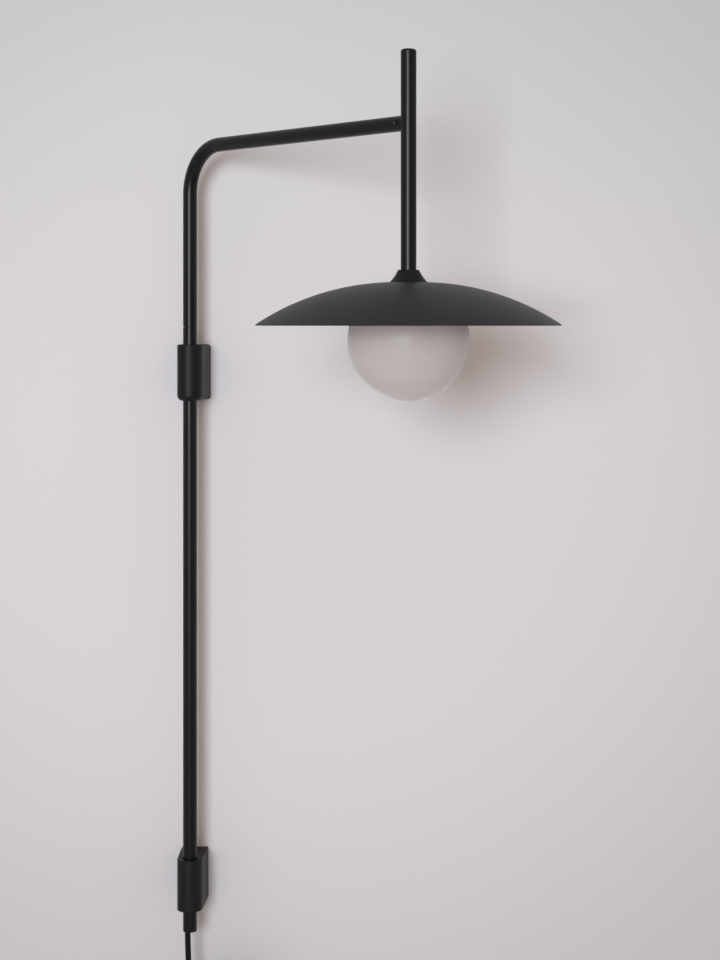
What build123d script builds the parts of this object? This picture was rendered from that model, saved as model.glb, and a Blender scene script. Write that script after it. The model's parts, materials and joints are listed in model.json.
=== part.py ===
"""Swing arm wall lamp: a pole on two wall brackets, a bent arm that turns on the pole, and a stem
with a shallow shade and a glass globe.

Millimetres. +Z is up, +X runs along the wall to the right and +Y points into the wall. The origin is
the middle of the upper wall plate's back face.
"""

import math
import os

from build123d import *

os.makedirs("parts", exist_ok=True)

# Tube of the pole, the arm and the stem
tube_od = 15.5
tube_wall = 1.5

# Pole, measured from the middle of the upper wall plate
pole_standoff = 45.0  # wall to pole axis
pole_rise = 51.0  # up to the seam where the arm turns
pole_drop = 626.0  # down to the open foot
bracket_spacing = 573.0

# Brackets and wall plates
nose_radius = 14.2  # round front of a bracket, about the pole
upper_back_width = 36.0  # the brackets widen towards the wall
lower_back_width = 30.6
upper_bracket_height = 63.0
lower_bracket_height = 57.0
bracket_top_radius = 1.2
upper_foot_radius = 6.0  # the upper bracket's rounded foot
edge_break = 0.6
bore_countersink = 1.2
plate_thickness = 3.0
upper_corner = 3.8  # upper corners at the wall
lower_corner = 2.0
boss_width = 18.0  # the plate's boss, which the bracket fits over
boss_depth = 6.0
boss_margin = 8.5  # bracket's ends to the boss's ends
wall_hole_radius = 2.25
wall_hole_spacing = 28.0
wall_sink_radius = 4.4  # square countersink for the wall screw's head
grub_radius = 2.0
grub_key = 2.0  # key socket across its flats
grub_key_depth = 2.0

# Swing pivot
pivot_radius = 5.0
pivot_bore_radius = 3.5  # hollow for the cable
bush_length = 29.0
bush_slot_depth = 6.5
spindle_seat = 28.0  # length of the spindle inside the arm tube
spindle_tip = 4.5  # spindle below the bush
washer_thickness = 0.4
washer_inset = 0.5  # washer's edge inside the tube's outside
seam_chamfer = 0.4  # tube ends at the seam
stop_pin_radius = 1.0
stop_pin_depth = 5.0  # below the pole's top
swing_to_wall = 25.0  # degrees from rest, towards the wall on the right
swing_away = 115.0  # degrees from rest, towards the left
ring_thickness = 1.2
ring_groove = 0.7
ring_inset = 0.3  # ring's edge inside the pole's bore

# Arm
arm_height = 252.0  # arm axis above the upper plate's middle
arm_reach = 350.0  # pole axis to stem axis
arm_angle = 45.0  # degrees from the wall, at rest
bend_radius = 52.0
arm_cable_od = 5.0
arm_cable_strip = 45.0  # the cable's jacket ends this far before the stem's axis
end_plug_length = 26.0
stud_radius = 4.0
stud_bore_radius = 2.4
stud_length = 20.0
stud_tip = 3.6  # stud's end before the stem's axis
arm_screw_place = 10.0  # set screw on the stud, before the stem's axis
arm_screw_sink = 1.2  # depth of its countersink
arm_screw_depth = 0.8  # screw's face under the tube's surface

# Stem
stem_rise = 72.2  # above the arm axis
stem_drop = 156.5  # arm axis down to the shade's top
stem_cap_thickness = 4.0
stem_cap_round = 2.4
stem_cap_spigot = 8.0
barrel_nut_length = 22.0
stem_insert_length = 20.0
wire_od = 1.8
wire_spacing = 2.4
wire_bend = 4.0

# Shade and its cap
shade_radius = 150.0
shade_flat_radius = 13.0
dome_radius = 246.0
shade_sheet = 1.2
cap_height = 12.0
cap_floor = 2.5
cap_top_radius = 10.5
cap_foot_radius = 18.7
cap_flare = 0.55  # how far the cap's side bows in

# Lamp holder
nipple_radius = 5.0
nipple_bore_radius = 3.5
shade_washer_thickness = 1.0
shade_washer_radius = 11.5
cup_radius = 20.0  # the globe's collar goes over this
cup_shoulder_radius = 24.0
cup_wall = 2.0
cup_roof = 2.5
cup_depth = 19.3
strip_thickness = 1.5
strip_width = 12.0
nut_across_flats = 14.0
nut_height = 4.0
nipple_end = 1.0  # nipple below the nut
socket_gap = 2.3  # nipple's end to the socket
socket_length = 20.0
socket_width = 24.0
socket_depth = 16.0
socket_corner = 2.5
socket_screw_radius = 1.5
socket_screw_grip = 6.0
socket_screw_head_radius = 2.75
socket_screw_head = 1.8

# Globe
globe_radius = 60.0
globe_glass = 2.2
globe_mouth_radius = 41.0
globe_sink = 57.2  # shade's top to the globe's centre
collar_thickness = 3.0
collar_hub_wall = 3.2
collar_spigot = 3.0
collar_spigot_wall = 3.0

# Bulb
bulb_pin_spacing = 9.0
bulb_pin_radius = 0.6
bulb_pin_length = 8.3
bulb_pin_play = 0.6
bulb_base_width = 14.0
bulb_base_depth = 8.0
bulb_base_length = 11.7
bulb_radius = 7.0
bulb_length = 28.0

# Cord
cord_od = 6.4
cord_exit_x = -2.6  # the cord leaves the pole beside its axis
cord_hang_x = -0.9  # and hangs here
cord_exit_bend = 12.0  # below the pole's foot
cord_hang_bend = 52.0  # below the pole's foot
coil_height = 722.0  # coil's middle, below the upper plate's middle
coil_inner_radius = 25.0
coil_pitch = 6.9  # from one turn to the next, and from layer to layer
coil_reversal_step = 1.2  # extra step into the innermost half turn
half_turns_in = 6
half_turns_out = 7
arc_share = 0.45  # share of the shorter run that a bend takes up
tail_runs = ((0.0, 0.0, 24.0), (1.75, -1.3, 30.0), (0.0, 0.0, 24.0))  # right, forward or back, down
tie_width = 8.0
tie_thickness = 1.4
grip_length = 18.0
grip_recess = 8.0  # grip above the pole's foot
cable_straight = 18.0  # cable in the pole, straight above the grip
cable_centring = 90.0  # and then over to the pole's axis
coil_sample = 1.0  # step along the coil when its gaps are measured
coil_neighbour = 18.0  # nearer along the cord than this is the same stretch

# Plug
plug_boot_length = 22.0
plug_boot_radius = 5.2
plug_shoulder = 12.0
plug_front = 16.0
plug_width = 34.0
plug_depth = 13.7
plug_pin_radius = 2.0
plug_pin_length = 19.0
plug_pin_spacing = 18.0

# Clearances
fit_gap = 0.05  # pieces that are pressed, bonded or screwed together
running_gap = 0.05  # spindle in its bush
seat_gap = 0.3  # loose pieces and pieces that move past each other
joint_gap = 0.1  # arm's end to the stem

# Worked out from the sizes above
tube_radius = tube_od / 2
tube_bore = tube_radius - tube_wall
lining_radius = tube_bore - fit_gap
boss_line = -plate_thickness - boss_depth / 2
pole_foot = -pole_drop
arm_foot = pole_rise + washer_thickness + fit_gap
arm_dir = Vector(math.cos(math.radians(arm_angle)), -math.sin(math.radians(arm_angle)), 0)
pole_point = Vector(0, -pole_standoff, 0)
stem_point = pole_point + arm_dir * arm_reach
up = Vector(0, 0, 1)
rightwards = Vector(1, 0, 0)

pole_axis = Axis(pole_point, up)
stem_axis = Axis(stem_point, up)
# Upright planes through the two vertical axes: x is the radius, y the height.
arm_section = Plane(origin=pole_point, x_dir=arm_dir, z_dir=arm_dir.cross(up))
stem_section = Plane(origin=stem_point, x_dir=arm_dir, z_dir=arm_dir.cross(up))

shade_top = arm_height - stem_drop
shade_under = shade_top - shade_sheet
cup_top = shade_under - shade_washer_thickness
cup_roof_under = cup_top - cup_roof
strip_under = cup_roof_under - strip_thickness
nut_under = strip_under - nut_height
nipple_foot = nut_under - nipple_end
socket_top = nipple_foot - socket_gap
socket_foot = socket_top - socket_length
socket_screw_height = (socket_top + socket_foot) / 2
strip_inside = socket_width / 2 + fit_gap
strip_outside = strip_inside + strip_thickness
bulb_base_top = socket_foot - seat_gap
bulb_base_foot = bulb_base_top - bulb_base_length
globe_centre = shade_top - globe_sink
globe_mouth = globe_centre + math.sqrt(globe_radius**2 - globe_mouth_radius**2)
cup_shoulder_under = globe_mouth + collar_thickness + seat_gap


def pole_plane(height):
    """Level plane on the pole's axis."""
    return Plane(origin=pole_point + up * height, z_dir=up)


def stem_plane(height):
    """Level plane on the stem's axis, its x along the arm."""
    return Plane(origin=stem_point + up * height, x_dir=arm_dir, z_dir=up)


def arm_plane(reach):
    """Plane square to the arm at a distance from the pole's axis."""
    return Plane(origin=pole_point + arm_dir * reach + up * arm_height, x_dir=up, z_dir=arm_dir)


def stem_cope():
    """Rounds an arm piece's end to the stem that it meets."""
    with BuildSketch(stem_plane(arm_height - tube_od)) as stem_round:
        Circle(tube_radius + joint_gap)
    extrude(stem_round.sketch, amount=2 * tube_od, mode=Mode.SUBTRACT)


def arm_screw_plane(radius):
    """Plane square to the arm's set screw, at a distance from the arm's axis, facing inwards."""
    outwards = arm_section.z_dir
    return Plane(origin=arm_plane(arm_reach - arm_screw_place).origin + outwards * radius, z_dir=-outwards)


def arm_screw_hole():
    """Drills an arm piece for the set screw."""
    with BuildSketch(arm_screw_plane(tube_od)) as hole:
        Circle(grub_radius + fit_gap)
    extrude(hole.sketch, amount=tube_od, mode=Mode.SUBTRACT)


# Wall side: plates, brackets and pole
def wall_plate(middle, width, height, corner):
    """Plate against the wall, with the boss that carries its bracket and two holes for wall screws."""
    boss_front = -plate_thickness - boss_depth
    with BuildPart() as plate:
        with BuildSketch(Plane.XZ.offset(plate_thickness)):
            with Locations((0, middle)):
                RectangleRounded(width, height, corner)
        extrude(amount=-plate_thickness)
        with BuildSketch(Plane.XZ.offset(plate_thickness)):
            with Locations((0, middle)):
                Rectangle(boss_width, height - 2 * boss_margin)
        extrude(amount=boss_depth)
        with BuildSketch(Plane.XZ.offset(-boss_front)):
            with Locations((0, middle)):
                with GridLocations(0, wall_hole_spacing, 1, 2):
                    Circle(wall_hole_radius)
        extrude(amount=boss_front, mode=Mode.SUBTRACT)
        sunk = plate.edges().filter_by(GeomType.CIRCLE).group_by(Axis.Y)[0]
        chamfer(sunk, wall_sink_radius - wall_hole_radius)
    return plate


def bracket(middle, height, back_width, corner, foot_radius):
    """Block with a round nose about the pole, which fits over its wall plate's boss."""
    foot = middle - height / 2
    back_corner = Vector(back_width / 2, -plate_thickness)
    # The sides run from the back's corners and touch the nose.
    reach = back_corner + Vector(0, pole_standoff)
    side_turn = math.degrees(math.atan2(reach.Y, reach.X) - math.acos(nose_radius / reach.length))
    with BuildPart() as block:
        with BuildSketch(Plane.XY.offset(foot)):
            with BuildLine():
                nose = CenterArc((0, -pole_standoff), nose_radius, side_turn, -180 - 2 * side_turn)
                Polyline(nose @ 0, back_corner, (-back_corner.X, back_corner.Y), nose @ 1)
            make_face()
        extrude(amount=height)
        fillet(block.faces().sort_by(Axis.Z)[0].edges().sort_by(Axis.Y)[:-1], foot_radius)
        fillet(block.faces().sort_by(Axis.Z)[-1].edges().sort_by(Axis.Y)[:-1], bracket_top_radius)
        # Upper corners at the wall, as round as the plate's
        with BuildSketch(Plane.XZ) as corners:
            with Locations((0, middle + height / 2 - corner)):
                with GridLocations(back_width - corner, 0, 2, 1):
                    Rectangle(corner, 2 * corner, align=(Align.CENTER, Align.MIN))
                with GridLocations(back_width - 2 * corner, 0, 2, 1):
                    Circle(corner, mode=Mode.SUBTRACT)
        extrude(corners.sketch, amount=pole_standoff + nose_radius, mode=Mode.SUBTRACT)
        # Pole bore with a countersunk mouth
        with BuildSketch(pole_plane(foot)):
            Circle(tube_radius + fit_gap)
        extrude(amount=height, mode=Mode.SUBTRACT)
        mouth = block.faces().sort_by(Axis.Z)[-1].edges().filter_by(GeomType.CIRCLE)
        chamfer(mouth.sort_by(SortBy.RADIUS)[0], bore_countersink)
        # Pocket for the wall plate's boss
        with BuildSketch(Plane.XZ.offset(plate_thickness)):
            with Locations((0, middle)):
                Rectangle(boss_width + 2 * fit_gap, height - 2 * boss_margin + 2 * fit_gap)
        extrude(amount=boss_depth + fit_gap, mode=Mode.SUBTRACT)
        # Holes for the two grub screws
        with BuildSketch(Plane(origin=(0, boss_line, foot), z_dir=up)):
            Circle(grub_radius + fit_gap)
        extrude(amount=boss_margin, mode=Mode.SUBTRACT)
        with BuildSketch(Plane(origin=(-nose_radius, -pole_standoff, middle), z_dir=rightwards)):
            Circle(grub_radius + fit_gap)
        extrude(amount=nose_radius, mode=Mode.SUBTRACT)
    return block


def grub_screw(plane, length):
    """Headless screw with a hexagonal key socket, its open end on the plane."""
    with BuildSketch(plane) as shank:
        Circle(grub_radius)
    extrude(shank.sketch, amount=length)
    with BuildSketch(plane) as key_socket:
        RegularPolygon(grub_key / 2, 6, major_radius=False)
    extrude(key_socket.sketch, amount=grub_key_depth, mode=Mode.SUBTRACT)


brackets = ((0.0, upper_bracket_height), (-bracket_spacing, lower_bracket_height))

upper_wall_plate = wall_plate(0.0, upper_back_width, upper_bracket_height, upper_corner)
lower_wall_plate = wall_plate(-bracket_spacing, lower_back_width, lower_bracket_height, lower_corner)
upper_bracket = bracket(0.0, upper_bracket_height, upper_back_width, upper_corner, upper_foot_radius)
lower_bracket = bracket(-bracket_spacing, lower_bracket_height, lower_back_width, lower_corner, edge_break)

with BuildPart() as plate_grub_screws:
    for bracket_middle, bracket_height in brackets:
        grub_start = bracket_middle - bracket_height / 2 + edge_break
        grub_plane = Plane(origin=(0, boss_line, grub_start), z_dir=up)
        grub_screw(grub_plane, boss_margin - edge_break - fit_gap)

with BuildPart() as pole_grub_screws:
    for bracket_middle, _ in brackets:
        grub_start = -nose_radius + edge_break
        grub_plane = Plane(origin=(grub_start, -pole_standoff, bracket_middle), z_dir=rightwards)
        grub_screw(grub_plane, -tube_radius - fit_gap - grub_start)

with BuildPart() as pole_tube:
    with BuildSketch(pole_plane(pole_foot)):
        Circle(tube_radius)
        Circle(tube_bore, mode=Mode.SUBTRACT)
    extrude(amount=pole_rise - pole_foot)
    fillet(pole_tube.faces().sort_by(Axis.Z)[0].edges().sort_by(SortBy.RADIUS)[-1], edge_break)
    chamfer(pole_tube.faces().sort_by(Axis.Z)[-1].edges().sort_by(SortBy.RADIUS)[-1], seam_chamfer)

# Swing pivot: a hollow spindle in the arm turns in a bush in the pole, on a thin washer
bush_foot = pole_rise - bush_length
ring_top = bush_foot - seat_gap
spindle_foot = bush_foot - spindle_tip
spindle_top = arm_foot + spindle_seat
stop_height = pole_rise - stop_pin_depth
# The slot lets the pin turn through the whole swing, with a little room at each end.
stop_half_width = math.degrees(math.asin((stop_pin_radius + seat_gap) / pivot_radius))
slot_angle = swing_to_wall + swing_away + 2 * stop_half_width
slot_dir = arm_dir.rotate(Axis.Z, -swing_away - stop_half_width)

with BuildPart() as pivot_bush:
    with BuildSketch(pole_plane(bush_foot)):
        Circle(lining_radius)
        Circle(pivot_radius + running_gap, mode=Mode.SUBTRACT)
    extrude(amount=bush_length)
    with BuildSketch(Plane(origin=pole_point, x_dir=slot_dir, z_dir=slot_dir.cross(up))):
        with Locations((pivot_radius, pole_rise - bush_slot_depth)):
            Rectangle(tube_radius, bush_slot_depth, align=(Align.MIN, Align.MIN))
    revolve(axis=pole_axis, revolution_arc=slot_angle, mode=Mode.SUBTRACT)

with BuildPart() as thrust_washer:
    with BuildSketch(pole_plane(pole_rise)):
        Circle(tube_radius - washer_inset)
        Circle(pivot_radius + seat_gap, mode=Mode.SUBTRACT)
    extrude(amount=washer_thickness)

with BuildPart() as pivot_spindle:
    with BuildSketch(arm_section):
        with BuildLine():
            Polyline(
                (pivot_bore_radius, spindle_foot),
                (pivot_radius, spindle_foot),
                (pivot_radius, ring_top - ring_thickness - fit_gap),
                (pivot_radius - ring_groove, ring_top - ring_thickness - fit_gap),
                (pivot_radius - ring_groove, ring_top + fit_gap),
                (pivot_radius, ring_top + fit_gap),
                (pivot_radius, arm_foot),
                (lining_radius, arm_foot),
                (lining_radius, spindle_top),
                (pivot_bore_radius, spindle_top),
                close=True,
            )
        make_face()
    revolve(axis=pole_axis)
    with BuildSketch(Plane(origin=pole_point + up * stop_height, x_dir=up, z_dir=arm_dir)):
        Circle(stop_pin_radius + fit_gap)
    extrude(amount=pivot_radius + fit_gap, mode=Mode.SUBTRACT)

with BuildPart() as stop_pin:
    pin_root = pole_point + up * stop_height + arm_dir * (pivot_bore_radius + fit_gap)
    with BuildSketch(Plane(origin=pin_root, x_dir=up, z_dir=arm_dir)):
        Circle(stop_pin_radius)
    extrude(amount=tube_bore - seat_gap - pivot_bore_radius - fit_gap)

with BuildPart() as retaining_ring:
    with BuildSketch(pole_plane(ring_top - ring_thickness)):
        Circle(tube_bore - ring_inset)
        Circle(pivot_radius - ring_groove + fit_gap, mode=Mode.SUBTRACT)
    extrude(amount=ring_thickness)

# Arm: one bent tube, coped to the stem and pulled against it by a hollow stud
with BuildPart() as arm_tube:
    with BuildLine(arm_section) as arm_path:
        FilletPolyline((0, arm_foot), (0, arm_height), (arm_reach, arm_height), radius=bend_radius)
    with BuildSketch(pole_plane(arm_foot)):
        Circle(tube_radius)
        Circle(tube_bore, mode=Mode.SUBTRACT)
    sweep(path=arm_path.line)
    chamfer(arm_tube.faces().sort_by(Axis.Z)[0].edges().sort_by(SortBy.RADIUS)[-1], seam_chamfer)
    stem_cope()
    arm_screw_hole()
    with Locations(arm_screw_plane(tube_radius + arm_screw_sink)):
        sink_foot_radius = grub_radius + fit_gap
        sink_rim_radius = sink_foot_radius + 2 * arm_screw_sink
        Cone(sink_rim_radius, sink_foot_radius, 2 * arm_screw_sink,
             align=(Align.CENTER, Align.CENTER, Align.MIN), mode=Mode.SUBTRACT)

with BuildPart() as arm_cable:
    cable_end = arm_reach - arm_cable_strip
    with BuildLine(arm_section) as cable_path:
        FilletPolyline((0, spindle_foot), (0, arm_height), (cable_end, arm_height), radius=bend_radius)
    with BuildSketch(pole_plane(spindle_foot)):
        Circle(arm_cable_od / 2)
    sweep(path=cable_path.line)

with BuildPart() as arm_end_plug:
    with BuildSketch(arm_plane(arm_reach - end_plug_length)):
        Circle(lining_radius)
        Circle(stud_radius + fit_gap, mode=Mode.SUBTRACT)
    extrude(amount=end_plug_length)
    stem_cope()
    arm_screw_hole()

with BuildPart() as joint_stud:
    with BuildSketch(arm_plane(arm_reach - stud_tip - stud_length)):
        Circle(stud_radius)
        Circle(stud_bore_radius, mode=Mode.SUBTRACT)
    extrude(amount=stud_length)

with BuildPart() as arm_grub_screw:
    arm_screw_start = tube_radius - arm_screw_depth
    grub_screw(arm_screw_plane(arm_screw_start), arm_screw_start - stud_radius - fit_gap)

# Stem
with BuildPart() as stem_tube:
    stem_foot = shade_top + cap_floor
    stem_top = arm_height + stem_rise
    with BuildSketch(stem_plane(stem_foot)):
        Circle(tube_radius)
        Circle(tube_bore, mode=Mode.SUBTRACT)
    extrude(amount=stem_top - stem_cap_thickness - stem_foot)
    with BuildSketch(arm_plane(arm_reach - tube_od)):
        Circle(stud_radius + joint_gap)
    extrude(amount=tube_od, mode=Mode.SUBTRACT)

with BuildPart() as stem_cap:
    with BuildSketch(stem_plane(stem_top - stem_cap_thickness)):
        Circle(tube_radius)
    extrude(amount=stem_cap_thickness)
    fillet(stem_cap.faces().sort_by(Axis.Z)[-1].edges(), stem_cap_round)
    with BuildSketch(stem_plane(stem_top - stem_cap_thickness)):
        Circle(lining_radius)
    extrude(amount=-stem_cap_spigot)

with BuildPart() as stem_barrel_nut:
    with BuildSketch(stem_plane(arm_height - barrel_nut_length / 2)):
        Circle(lining_radius)
    extrude(amount=barrel_nut_length)
    with BuildSketch(arm_plane(arm_reach - tube_od)):
        Circle(stud_radius + fit_gap)
    extrude(amount=tube_od, mode=Mode.SUBTRACT)
    with BuildSketch(stem_plane(arm_height)):
        Circle(nipple_bore_radius)
    extrude(amount=-barrel_nut_length, mode=Mode.SUBTRACT)

with BuildPart() as stem_wires:
    for side in (-1, 1):
        with BuildLine(arm_section.offset(side * wire_spacing / 2)) as wire_path:
            FilletPolyline((cable_end, arm_height), (arm_reach, arm_height), (arm_reach, socket_top),
                           radius=wire_bend)
        with BuildSketch(Plane(origin=wire_path.line @ 0, z_dir=wire_path.line % 0)):
            Circle(wire_od / 2)
        sweep(path=wire_path.line)

with BuildPart() as stem_insert:
    with BuildSketch(stem_plane(stem_foot)):
        Circle(lining_radius)
        Circle(nipple_radius + fit_gap, mode=Mode.SUBTRACT)
    extrude(amount=stem_insert_length)

# Shade with its cap, and the nipple that holds the stack together
with BuildPart() as shade_cap:
    with BuildSketch(stem_section):
        with BuildLine():
            side_top = Vector(cap_top_radius, shade_top + cap_height)
            side_foot = Vector(cap_foot_radius, shade_top + fit_gap)
            side_middle = (side_top + side_foot) / 2 - Vector(cap_flare, cap_flare)
            Polyline(
                side_foot,
                (nipple_radius + seat_gap, shade_top + fit_gap),
                (nipple_radius + seat_gap, stem_foot),
                (tube_radius + fit_gap, stem_foot),
                (tube_radius + fit_gap, shade_top + cap_height),
                side_top,
            )
            ThreePointArc(side_top, side_middle, side_foot)
        make_face()
    revolve(axis=stem_axis)

with BuildPart() as shade:
    rim_angle = math.degrees(math.asin((shade_radius - shade_flat_radius) / dome_radius))
    shade_hole = nipple_radius + seat_gap
    dome_centre = (shade_flat_radius, shade_top - dome_radius)
    with BuildSketch(stem_section):
        with BuildLine():
            CenterArc(dome_centre, dome_radius, 90, -rim_angle)
            CenterArc(dome_centre, dome_radius - shade_sheet, 90, -rim_angle)
            rim_out = Vector(math.sin(math.radians(rim_angle)), math.cos(math.radians(rim_angle)))
            rim_top = Vector(*dome_centre) + rim_out * dome_radius
            Line(rim_top, rim_top - rim_out * shade_sheet)
            Polyline(
                (shade_flat_radius, shade_top),
                (shade_hole, shade_top),
                (shade_hole, shade_under),
                (shade_flat_radius, shade_under),
            )
        make_face()
    revolve(axis=stem_axis)

with BuildPart() as shade_nipple:
    with BuildSketch(stem_plane(nipple_foot)):
        Circle(nipple_radius)
        Circle(nipple_bore_radius, mode=Mode.SUBTRACT)
    extrude(amount=stem_foot + stem_insert_length - nipple_foot)

with BuildPart() as shade_washer:
    with BuildSketch(stem_plane(cup_top)):
        Circle(shade_washer_radius)
        Circle(nipple_radius + seat_gap, mode=Mode.SUBTRACT)
    extrude(amount=shade_washer_thickness)

# Lamp holder: cup, strip, nut and ceramic socket
with BuildPart() as holder_cup:
    with BuildSketch(stem_section):
        with BuildLine():
            Polyline(
                (nipple_radius + fit_gap, cup_top),
                (cup_shoulder_radius, cup_top),
                (cup_shoulder_radius, cup_shoulder_under),
                (cup_radius, cup_shoulder_under),
                (cup_radius, cup_top - cup_depth),
                (cup_radius - cup_wall, cup_top - cup_depth),
                (cup_radius - cup_wall, cup_roof_under),
                (nipple_radius + fit_gap, cup_roof_under),
                close=True,
            )
        make_face()
    revolve(axis=stem_axis)

with BuildPart() as socket_bracket:
    with BuildSketch(stem_section):
        with BuildLine():
            Polyline(
                (-strip_outside, socket_foot),
                (-strip_outside, cup_roof_under),
                (strip_outside, cup_roof_under),
                (strip_outside, socket_foot),
                (strip_inside, socket_foot),
                (strip_inside, strip_under),
                (-strip_inside, strip_under),
                (-strip_inside, socket_foot),
                close=True,
            )
        make_face()
    extrude(amount=strip_width / 2, both=True)
    bends = socket_bracket.edges().filter_by(Axis(stem_point, stem_section.z_dir))
    fillet(bends.group_by(Axis.Z)[-1], strip_thickness)
    with BuildSketch(stem_plane(strip_under)):
        Circle(nipple_radius + fit_gap)
    extrude(amount=strip_thickness, mode=Mode.SUBTRACT)
    with BuildSketch(Plane(origin=stem_point + up * socket_screw_height, x_dir=up, z_dir=arm_dir)):
        Circle(socket_screw_radius + fit_gap)
    extrude(amount=socket_width, both=True, mode=Mode.SUBTRACT)

with BuildPart() as nipple_nut:
    with BuildSketch(stem_plane(nut_under)):
        RegularPolygon(nut_across_flats / 2, 6, major_radius=False)
        Circle(nipple_radius + fit_gap, mode=Mode.SUBTRACT)
    extrude(amount=nut_height)

with BuildPart() as lamp_socket:
    with BuildSketch(stem_plane(socket_foot)):
        RectangleRounded(socket_width, socket_depth, socket_corner)
    extrude(amount=socket_length)
    with BuildSketch(stem_plane(socket_foot)):
        with GridLocations(bulb_pin_spacing, 0, 2, 1):
            Circle(bulb_pin_radius + bulb_pin_play)
    extrude(amount=bulb_pin_length + bulb_pin_play, mode=Mode.SUBTRACT)
    for side in (-1, 1):
        socket_side = stem_point + up * socket_screw_height + arm_dir * side * socket_width / 2
        with BuildSketch(Plane(origin=socket_side, x_dir=up, z_dir=arm_dir * -side)):
            Circle(socket_screw_radius + fit_gap)
        extrude(amount=socket_screw_grip, mode=Mode.SUBTRACT)

with BuildPart() as socket_screws:
    for side in (-1, 1):
        head_seat = stem_point + up * socket_screw_height + arm_dir * side * (strip_outside + fit_gap)
        with BuildSketch(Plane(origin=head_seat, x_dir=up, z_dir=arm_dir * side)):
            Circle(socket_screw_head_radius)
        extrude(amount=socket_screw_head)
        with BuildSketch(Plane(origin=head_seat, x_dir=up, z_dir=arm_dir * -side)):
            Circle(socket_screw_radius)
        extrude(amount=strip_thickness + socket_screw_grip - fit_gap)

# Globe with the collar that goes over the cup
with BuildPart() as glass_globe:
    mouth_rise = globe_mouth - globe_centre
    inner_radius = globe_radius - globe_glass
    outer_turn = 90 + math.degrees(math.asin(mouth_rise / globe_radius))
    inner_turn = 90 + math.degrees(math.asin(mouth_rise / inner_radius))
    with BuildSketch(stem_section):
        with BuildLine():
            CenterArc((0, globe_centre), globe_radius, -90, outer_turn)
            CenterArc((0, globe_centre), inner_radius, -90, inner_turn)
            Line((globe_mouth_radius, globe_mouth),
                 (math.sqrt(inner_radius**2 - mouth_rise**2), globe_mouth))
            Line((0, globe_centre - globe_radius), (0, globe_centre - inner_radius))
        make_face()
    revolve(axis=stem_axis)

with BuildPart() as globe_collar:
    hub_inside = cup_radius + seat_gap
    hub_outside = hub_inside + collar_hub_wall
    hub_foot = cup_top - cup_depth
    spigot_outside = math.sqrt(inner_radius**2 - mouth_rise**2) - seat_gap
    spigot_inside = spigot_outside - collar_spigot_wall
    with BuildSketch(stem_section):
        with BuildLine():
            Polyline(
                (hub_inside, hub_foot),
                (hub_inside, globe_mouth + collar_thickness),
                (globe_mouth_radius, globe_mouth + collar_thickness),
                (globe_mouth_radius, globe_mouth),
                (spigot_outside, globe_mouth),
                (spigot_outside, globe_mouth - collar_spigot),
                (spigot_inside, globe_mouth - collar_spigot),
                (spigot_inside, globe_mouth),
                (hub_outside, globe_mouth),
                (hub_outside, hub_foot),
                close=True,
            )
        make_face()
    revolve(axis=stem_axis)

# Bulb
with BuildPart() as bulb_base:
    with BuildSketch(stem_plane(bulb_base_foot)):
        RectangleRounded(bulb_base_width, bulb_base_depth, bulb_base_depth / 4)
    extrude(amount=bulb_base_length)

with BuildPart() as bulb_pins:
    with BuildSketch(stem_plane(bulb_base_top)):
        with GridLocations(bulb_pin_spacing, 0, 2, 1):
            Circle(bulb_pin_radius)
    extrude(amount=bulb_pin_length)

with BuildPart() as bulb_capsule:
    with BuildSketch(stem_section):
        with BuildLine():
            Polyline(
                (0, bulb_base_foot - bulb_length),
                (0, bulb_base_foot),
                (bulb_radius, bulb_base_foot),
                (bulb_radius, bulb_base_foot - bulb_length + bulb_radius),
            )
            CenterArc((0, bulb_base_foot - bulb_length + bulb_radius), bulb_radius, 0, -90)
        make_face()
    revolve(axis=stem_axis)


# Cord: inside the pole, hanging from its foot, wound in a coil, and down to the plug
def bend_radii(route):
    """The largest arcs that the corners of a cord's route have room for."""
    radii = []
    for before, corner, after in zip(route, route[1:], route[2:]):
        arriving = Vector(corner) - Vector(before)
        leaving = Vector(after) - Vector(corner)
        half_angle = math.radians(arriving.get_angle(leaving)) / 2
        radii.append(arc_share * min(arriving.length, leaving.length) / math.tan(half_angle))
    return radii


def cord_run(name, route):
    """Round cord along straight runs joined by arcs."""
    radii = bend_radii(route)
    with BuildPart() as run:
        with BuildLine() as path:
            FilletPolyline(*route, radius=radii)
        with BuildSketch(Plane(origin=path.line @ 0, z_dir=path.line % 0)):
            Circle(cord_od / 2)
        sweep(path=path.line)
    length = path.wire().length
    tube_volume = math.pi * cord_od**2 / 4 * length
    print(f"{name}: {length:.1f} mm, radii {[round(r) for r in radii]}, "
          f"volume {run.part.volume / tube_volume:.4f} of section times length")
    return run


grip_foot = pole_foot + grip_recess
grip_top = grip_foot + grip_length
cord_y = -pole_standoff

with BuildPart() as cord_grip:
    with BuildSketch(pole_plane(grip_foot)):
        Circle(lining_radius)
        with Locations((cord_exit_x, 0)):
            Circle(cord_od / 2 + fit_gap, mode=Mode.SUBTRACT)
    extrude(amount=grip_length)

pole_cable = cord_run("pole_cable", [
    (cord_exit_x, cord_y, grip_foot),
    (cord_exit_x, cord_y, grip_top + cable_straight),
    (0, cord_y, grip_top + cable_straight + cable_centring),
    (0, cord_y, spindle_foot - seat_gap),
])

coil_start = -coil_height
cord_lead = cord_run("cord_lead", [
    (cord_exit_x, cord_y, grip_foot),
    (cord_exit_x, cord_y, pole_foot - cord_exit_bend),
    (cord_hang_x, cord_y, pole_foot - cord_hang_bend),
    (cord_hang_x, cord_y, coil_start + cord_od),
])

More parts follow.
